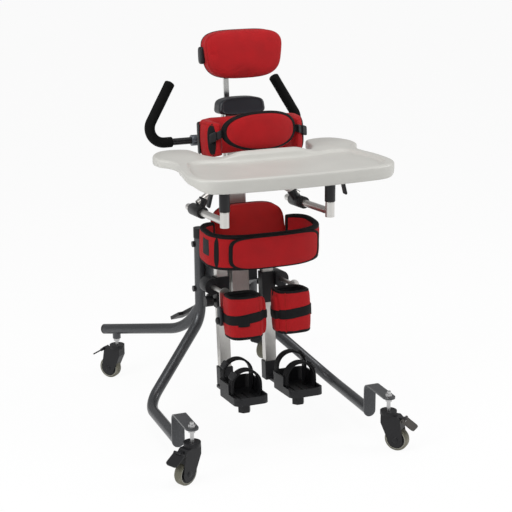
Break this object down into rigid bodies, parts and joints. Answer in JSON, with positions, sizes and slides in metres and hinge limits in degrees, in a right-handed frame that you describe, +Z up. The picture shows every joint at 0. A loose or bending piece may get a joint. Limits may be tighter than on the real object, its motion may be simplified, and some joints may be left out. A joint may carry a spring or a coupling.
{
  "type": "standing frame",
  "caption": "Wheeled upright standing frame with a leaning column that carries padded head, chest, hip and knee supports, sandals, a play tray and push handles.",
  "frame": {"origin": "on the floor, under the middle of the part's bounding box", "axes": "+Z up, -Y towards the front (the tray side), +X to the right as seen from the front"},
  "size_m": [0.8032, 1.0767, 1.2652],
  "materials": {
    "frame_paint": "satin metallic grey paint",
    "silver_tube": "anodised satin",
    "chrome_bar": "polished",
    "bright_steel": "zinc plated",
    "dark_steel": "blackened",
    "black_paint": "satin black paint",
    "black_plastic": "fine texture",
    "red_fabric": "woven cover over foam",
    "tray_plastic": "moulded, satin",
    "grey_tyre": "smooth",
    "foam": "foam sleeve"
  },
  "bodies": {
    "base": {"front_leg_left": "frame_paint", "front_leg_right": "frame_paint", "rear_leg_left": "frame_paint", "rear_leg_right": "frame_paint", "cross_tube": "frame_paint", "tube_caps": "black_plastic", "caster_stems": "bright_steel", "pivot_bolts": "dark_steel"},
    "caster_front_left": {"fork_front_left": "black_plastic"},
    "wheel_front_left": {"hub_front_left": "black_plastic", "tyre_front_left": "grey_tyre"},
    "pedal_front_left": {"brake_front_left": "black_plastic"},
    "caster_front_right": {"fork_front_right": "black_plastic"},
    "wheel_front_right": {"hub_front_right": "black_plastic", "tyre_front_right": "grey_tyre"},
    "pedal_front_right": {"brake_front_right": "black_plastic"},
    "caster_rear_left": {"fork_rear_left": "black_plastic"},
    "wheel_rear_left": {"hub_rear_left": "black_plastic", "tyre_rear_left": "grey_tyre"},
    "pedal_rear_left": {"brake_rear_left": "black_plastic"},
    "caster_rear_right": {"fork_rear_right": "black_plastic"},
    "wheel_rear_right": {"hub_rear_right": "black_plastic", "tyre_rear_right": "grey_tyre"},
    "pedal_rear_right": {"brake_rear_right": "black_plastic"},
    "tilt_pedal": {"tilt_pedal": "black_plastic"},
    "column": {"column": "silver_tube", "carrier": "frame_paint", "top_cap": "black_plastic", "leg_poles": "silver_tube", "rear_clamp": "frame_paint"},
    "head_bar": {"head_bar": "chrome_bar"},
    "headrest": {"head_plate": "black_plastic", "head_pad": "red_fabric"},
    "handles": {"handle_tubes": "black_paint", "handle_grips": "foam"},
    "chest_support": {"chest_carriage": "black_plastic", "chest_wrap": "red_fabric", "chest_panel": "red_fabric"},
    "hip_support": {"hip_carriage": "black_plastic", "hip_back_pad": "red_fabric", "hip_belt": "red_fabric"},
    "tray_mast": {"tray_clamps": "black_plastic", "tray_arms": "silver_tube"},
    "tray": {"tray_frame": "silver_tube", "tray_sockets": "black_plastic", "tray_top": "tray_plastic"},
    "lever_left": {"tray_lever_left": "black_plastic"},
    "lever_right": {"tray_lever_right": "black_plastic"},
    "knee_clamp_left": {"knee_clamp_left": "black_plastic"},
    "knee_support_left": {"knee_bracket_left": "silver_tube", "knee_cuff_left": "red_fabric"},
    "knee_clamp_right": {"knee_clamp_right": "black_plastic"},
    "knee_support_right": {"knee_bracket_right": "silver_tube", "knee_cuff_right": "red_fabric"},
    "foot_clamp_left": {"foot_clamp_left": "black_plastic"},
    "sandal_left": {"sandal_left": "black_plastic"},
    "foot_knob_left": {"foot_knob_left": "black_plastic"},
    "foot_clamp_right": {"foot_clamp_right": "black_plastic"},
    "sandal_right": {"sandal_right": "black_plastic"},
    "foot_knob_right": {"foot_knob_right": "black_plastic"}
  },
  "joints": [
    {"name": "swivel_front_left", "type": "hinge", "parent": "base", "child": "caster_front_left", "pos_m": [-0.32, -0.452, 0.126], "axis": [0, 0, 1], "continuous": true},
    {"name": "spin_front_left", "type": "hinge", "parent": "caster_front_left", "child": "wheel_front_left", "pos_m": [-0.34673, -0.46562, 0.0375], "axis": [0.454, -0.891, 0], "continuous": true},
    {"name": "brake_front_left", "type": "hinge", "parent": "caster_front_left", "child": "pedal_front_left", "pos_m": [-0.36633, -0.47561, 0.1035], "axis": [0.454, -0.891, 0], "range_deg": [0, 15]},
    {"name": "swivel_front_right", "type": "hinge", "parent": "base", "child": "caster_front_right", "pos_m": [0.32, -0.452, 0.126], "axis": [0, 0, 1], "continuous": true},
    {"name": "spin_front_right", "type": "hinge", "parent": "caster_front_right", "child": "wheel_front_right", "pos_m": [0.34007, -0.47429, 0.0375], "axis": [0.7431, 0.6691, 0], "continuous": true},
    {"name": "brake_front_right", "type": "hinge", "parent": "caster_front_right", "child": "pedal_front_right", "pos_m": [0.3548, -0.49064, 0.1035], "axis": [0.7431, 0.6691, 0], "range_deg": [0, 15]},
    {"name": "swivel_rear_left", "type": "hinge", "parent": "base", "child": "caster_rear_left", "pos_m": [-0.291, 0.452, 0.126], "axis": [0, 0, 1], "continuous": true},
    {"name": "spin_rear_left", "type": "hinge", "parent": "caster_rear_left", "child": "wheel_rear_left", "pos_m": [-0.31107, 0.47429, 0.0375], "axis": [-0.7431, -0.6691, 0], "continuous": true},
    {"name": "brake_rear_left", "type": "hinge", "parent": "caster_rear_left", "child": "pedal_rear_left", "pos_m": [-0.3258, 0.49064, 0.1035], "axis": [-0.7431, -0.6691, 0], "range_deg": [0, 15]},
    {"name": "swivel_rear_right", "type": "hinge", "parent": "base", "child": "caster_rear_right", "pos_m": [0.291, 0.452, 0.126], "axis": [0, 0, 1], "continuous": true},
    {"name": "spin_rear_right", "type": "hinge", "parent": "caster_rear_right", "child": "wheel_rear_right", "pos_m": [0.26427, 0.43838, 0.0375], "axis": [0.454, -0.891, 0], "continuous": true},
    {"name": "brake_rear_right", "type": "hinge", "parent": "caster_rear_right", "child": "pedal_rear_right", "pos_m": [0.24467, 0.42839, 0.1035], "axis": [0.454, -0.891, 0], "range_deg": [0, 15]},
    {"name": "tilt_pedal_press", "type": "hinge", "parent": "base", "child": "tilt_pedal", "pos_m": [0, 0.12, 0.362], "axis": [1, 0, 0], "range_deg": [-12, 0]},
    {"name": "column_tilt", "type": "hinge", "parent": "base", "child": "column", "pos_m": [0, 0.12, 0.557], "axis": [-1, 0, 0], "range_deg": [-5, 15]},
    {"name": "head_height", "type": "slide", "parent": "column", "child": "head_bar", "axis": [0, 0.0872, 0.9962], "range_m": [-0.015, 0.045]},
    {"name": "head_tilt", "type": "hinge", "parent": "head_bar", "child": "headrest", "pos_m": [0, 0.01049, 1.18694], "axis": [1, 0, 0], "range_deg": [-20, 20]},
    {"name": "handle_fold", "type": "hinge", "parent": "column", "child": "handles", "pos_m": [0, 0.11602, 0.90166], "axis": [-1, 0, 0], "range_deg": [0, 60]},
    {"name": "chest_height", "type": "slide", "parent": "column", "child": "chest_support", "axis": [0, 0.0872, 0.9962], "range_m": [-0.04, 0]},
    {"name": "hip_height", "type": "slide", "parent": "column", "child": "hip_support", "axis": [0, 0.0872, 0.9962], "range_m": [-0.03, 0.005]},
    {"name": "tray_height", "type": "slide", "parent": "column", "child": "tray_mast", "axis": [0, 0.0872, 0.9962], "range_m": [-0.005, 0.04]},
    {"name": "tray_depth", "type": "slide", "parent": "tray_mast", "child": "tray", "axis": [0, -0.9962, 0.0872], "range_m": [0, 0.09]},
    {"name": "tray_lever_left_swing", "type": "hinge", "parent": "tray", "child": "lever_left", "pos_m": [-0.204, -0.33631, 0.85249], "axis": [0, 1, 0], "range_deg": [0, 60]},
    {"name": "tray_lever_right_swing", "type": "hinge", "parent": "tray", "child": "lever_right", "pos_m": [0.204, -0.33631, 0.85249], "axis": [0, -1, 0], "range_deg": [0, 60]},
    {"name": "knee_height_left", "type": "slide", "parent": "column", "child": "knee_clamp_left", "axis": [0, 0.0872, 0.9962], "range_m": [-0.04, 0.035]},
    {"name": "knee_depth_left", "type": "slide", "parent": "knee_clamp_left", "child": "knee_support_left", "axis": [0, -0.9962, 0.0872], "range_m": [-0.01, 0.04]},
    {"name": "knee_height_right", "type": "slide", "parent": "column", "child": "knee_clamp_right", "axis": [0, 0.0872, 0.9962], "range_m": [-0.04, 0.035]},
    {"name": "knee_depth_right", "type": "slide", "parent": "knee_clamp_right", "child": "knee_support_right", "axis": [0, -0.9962, 0.0872], "range_m": [-0.01, 0.04]},
    {"name": "foot_height_left", "type": "slide", "parent": "column", "child": "foot_clamp_left", "axis": [0, 0.0872, 0.9962], "range_m": [0, 0.035]},
    {"name": "sandal_turn_left", "type": "hinge", "parent": "foot_clamp_left", "child": "sandal_left", "pos_m": [-0.0905, -0.27602, 0.16101], "axis": [0, -0.0872, -0.9962], "range_deg": [-15, 20]},
    {"name": "foot_knob_turn_left", "type": "hinge", "parent": "foot_clamp_left", "child": "foot_knob_left", "pos_m": [-0.0905, -0.27602, 0.16101], "axis": [0, 0.0872, 0.9962], "continuous": true},
    {"name": "foot_height_right", "type": "slide", "parent": "column", "child": "foot_clamp_right", "axis": [0, 0.0872, 0.9962], "range_m": [0, 0.035]},
    {"name": "sandal_turn_right", "type": "hinge", "parent": "foot_clamp_right", "child": "sandal_right", "pos_m": [0.0905, -0.27602, 0.16101], "axis": [0, 0.0872, 0.9962], "range_deg": [-15, 20]},
    {"name": "foot_knob_turn_right", "type": "hinge", "parent": "foot_clamp_right", "child": "foot_knob_right", "pos_m": [0.0905, -0.27602, 0.16101], "axis": [0, 0.0872, 0.9962], "continuous": true}
  ]
}
